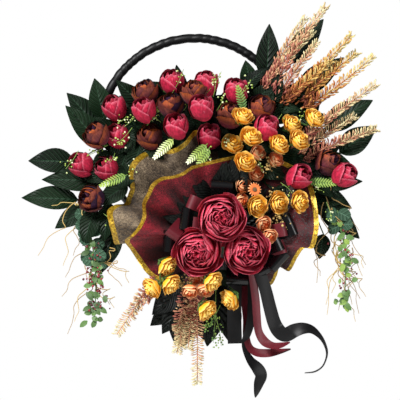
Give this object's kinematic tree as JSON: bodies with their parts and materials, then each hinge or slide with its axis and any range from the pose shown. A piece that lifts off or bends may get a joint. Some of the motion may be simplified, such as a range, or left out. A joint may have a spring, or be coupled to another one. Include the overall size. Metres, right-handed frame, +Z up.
{
  "type": "harvest door wreath",
  "caption": "Satin-wrapped hoop wreath with artificial autumn flowers, heather, leaves, a ruffled net collar, a ribbon bow and hanging tails.",
  "frame": {"origin": "where a hook holds the wreath: the inner side of the wrapped hoop at its top, in the hoop's middle plane", "axes": "+X to the viewer's right, +Z up, -Y out of the door towards the viewer"},
  "size_m": [0.626, 0.1992, 0.6909],
  "materials": {
    "black_satin": "glossy woven satin ribbon",
    "burgundy_ribbon": "ribbed ribbon",
    "dark_peony_petals": "pressed cloth petals",
    "flower_foam": "fine open foam",
    "tray": "moulded plastic",
    "heather": "tufted florets",
    "steel_rod": "bare drawn steel",
    "black_leaves": "pressed cloth leaves",
    "green_leaves": "pressed cloth leaves",
    "peach_petals": "pressed cloth petals",
    "burgundy_net": "open woven mesh with a metallic edge",
    "brown_net": "open woven mesh with a metallic edge",
    "yellow_petals": "pressed cloth petals",
    "red_peony_petals": "pressed cloth petals",
    "rose_petals": "pressed cloth petals",
    "binding_wire": "thin paddle wire",
    "eucalyptus": "pressed cloth leaves"
  },
  "bodies": {
    "wreath": {"bow_black": "black_satin", "bow_burgundy": "burgundy_ribbon", "dark_peony_01": "dark_peony_petals", "dark_peony_02": "dark_peony_petals", "dark_peony_03": "dark_peony_petals", "dark_peony_04": "dark_peony_petals", "dark_peony_05": "dark_peony_petals", "dark_peony_06": "dark_peony_petals", "dark_peony_07": "dark_peony_petals", "dark_peony_08": "dark_peony_petals", "dark_peony_09": "dark_peony_petals", "flower_foam": "flower_foam", "foam_tray": "tray", "heather_lower": "heather", "heather_right": "heather", "heather_top": "heather", "hoop_rod": "steel_rod", "hoop_satin_wrap": "black_satin", "leaf_fan_black": "black_leaves", "leaf_fan_left": "green_leaves", "leaf_fan_right": "green_leaves", "leaf_fan_top": "green_leaves", "mini_roses_lower": "peach_petals", "mini_roses_middle": "peach_petals", "mini_roses_upper": "peach_petals", "net_collar_inner": "burgundy_net", "net_collar_outer": "brown_net", "ranunculus_lower_left": "yellow_petals", "ranunculus_lower_right": "yellow_petals", "ranunculus_middle": "yellow_petals", "ranunculus_upper_left": "yellow_petals", "ranunculus_upper_right": "yellow_petals", "red_peony_01": "red_peony_petals", "red_peony_02": "red_peony_petals", "red_peony_03": "red_peony_petals", "red_peony_04": "red_peony_petals", "red_peony_05": "red_peony_petals", "red_peony_06": "red_peony_petals", "red_peony_07": "red_peony_petals", "red_peony_08": "red_peony_petals", "red_peony_09": "red_peony_petals", "red_peony_10": "red_peony_petals", "red_peony_11": "red_peony_petals", "red_peony_12": "red_peony_petals", "red_peony_13": "red_peony_petals", "red_peony_14": "red_peony_petals", "rose_left": "rose_petals", "rose_right": "rose_petals", "rose_top": "rose_petals", "tie_wire_bottom": "binding_wire", "tie_wire_left": "binding_wire", "tie_wire_right": "binding_wire"},
    "ribbon_tails": {"tail_black_long": "black_satin", "tail_black_panel": "black_satin", "tail_black_short": "black_satin", "tail_burgundy_left": "burgundy_ribbon", "tail_burgundy_right": "burgundy_ribbon"},
    "left_trail": {"trailing_spray_left": "eucalyptus"},
    "right_trail": {"trailing_spray_right": "eucalyptus"}
  },
  "joints": [
    {"name": "ribbon_tails_swing", "type": "hinge", "parent": "wreath", "child": "ribbon_tails", "pos_m": [0.092, -0.058, -0.4077], "axis": [-1, 0, 0], "range_deg": [0, 10]},
    {"name": "left_trail_sway", "type": "hinge", "parent": "wreath", "child": "left_trail", "pos_m": [-0.19, -0.05, -0.3117], "axis": [0, 1, 0], "range_deg": [-6, 6]},
    {"name": "right_trail_sway", "type": "hinge", "parent": "wreath", "child": "right_trail", "pos_m": [0.25, -0.05, -0.3037], "axis": [0, 1, 0], "range_deg": [-6, 6]}
  ]
}
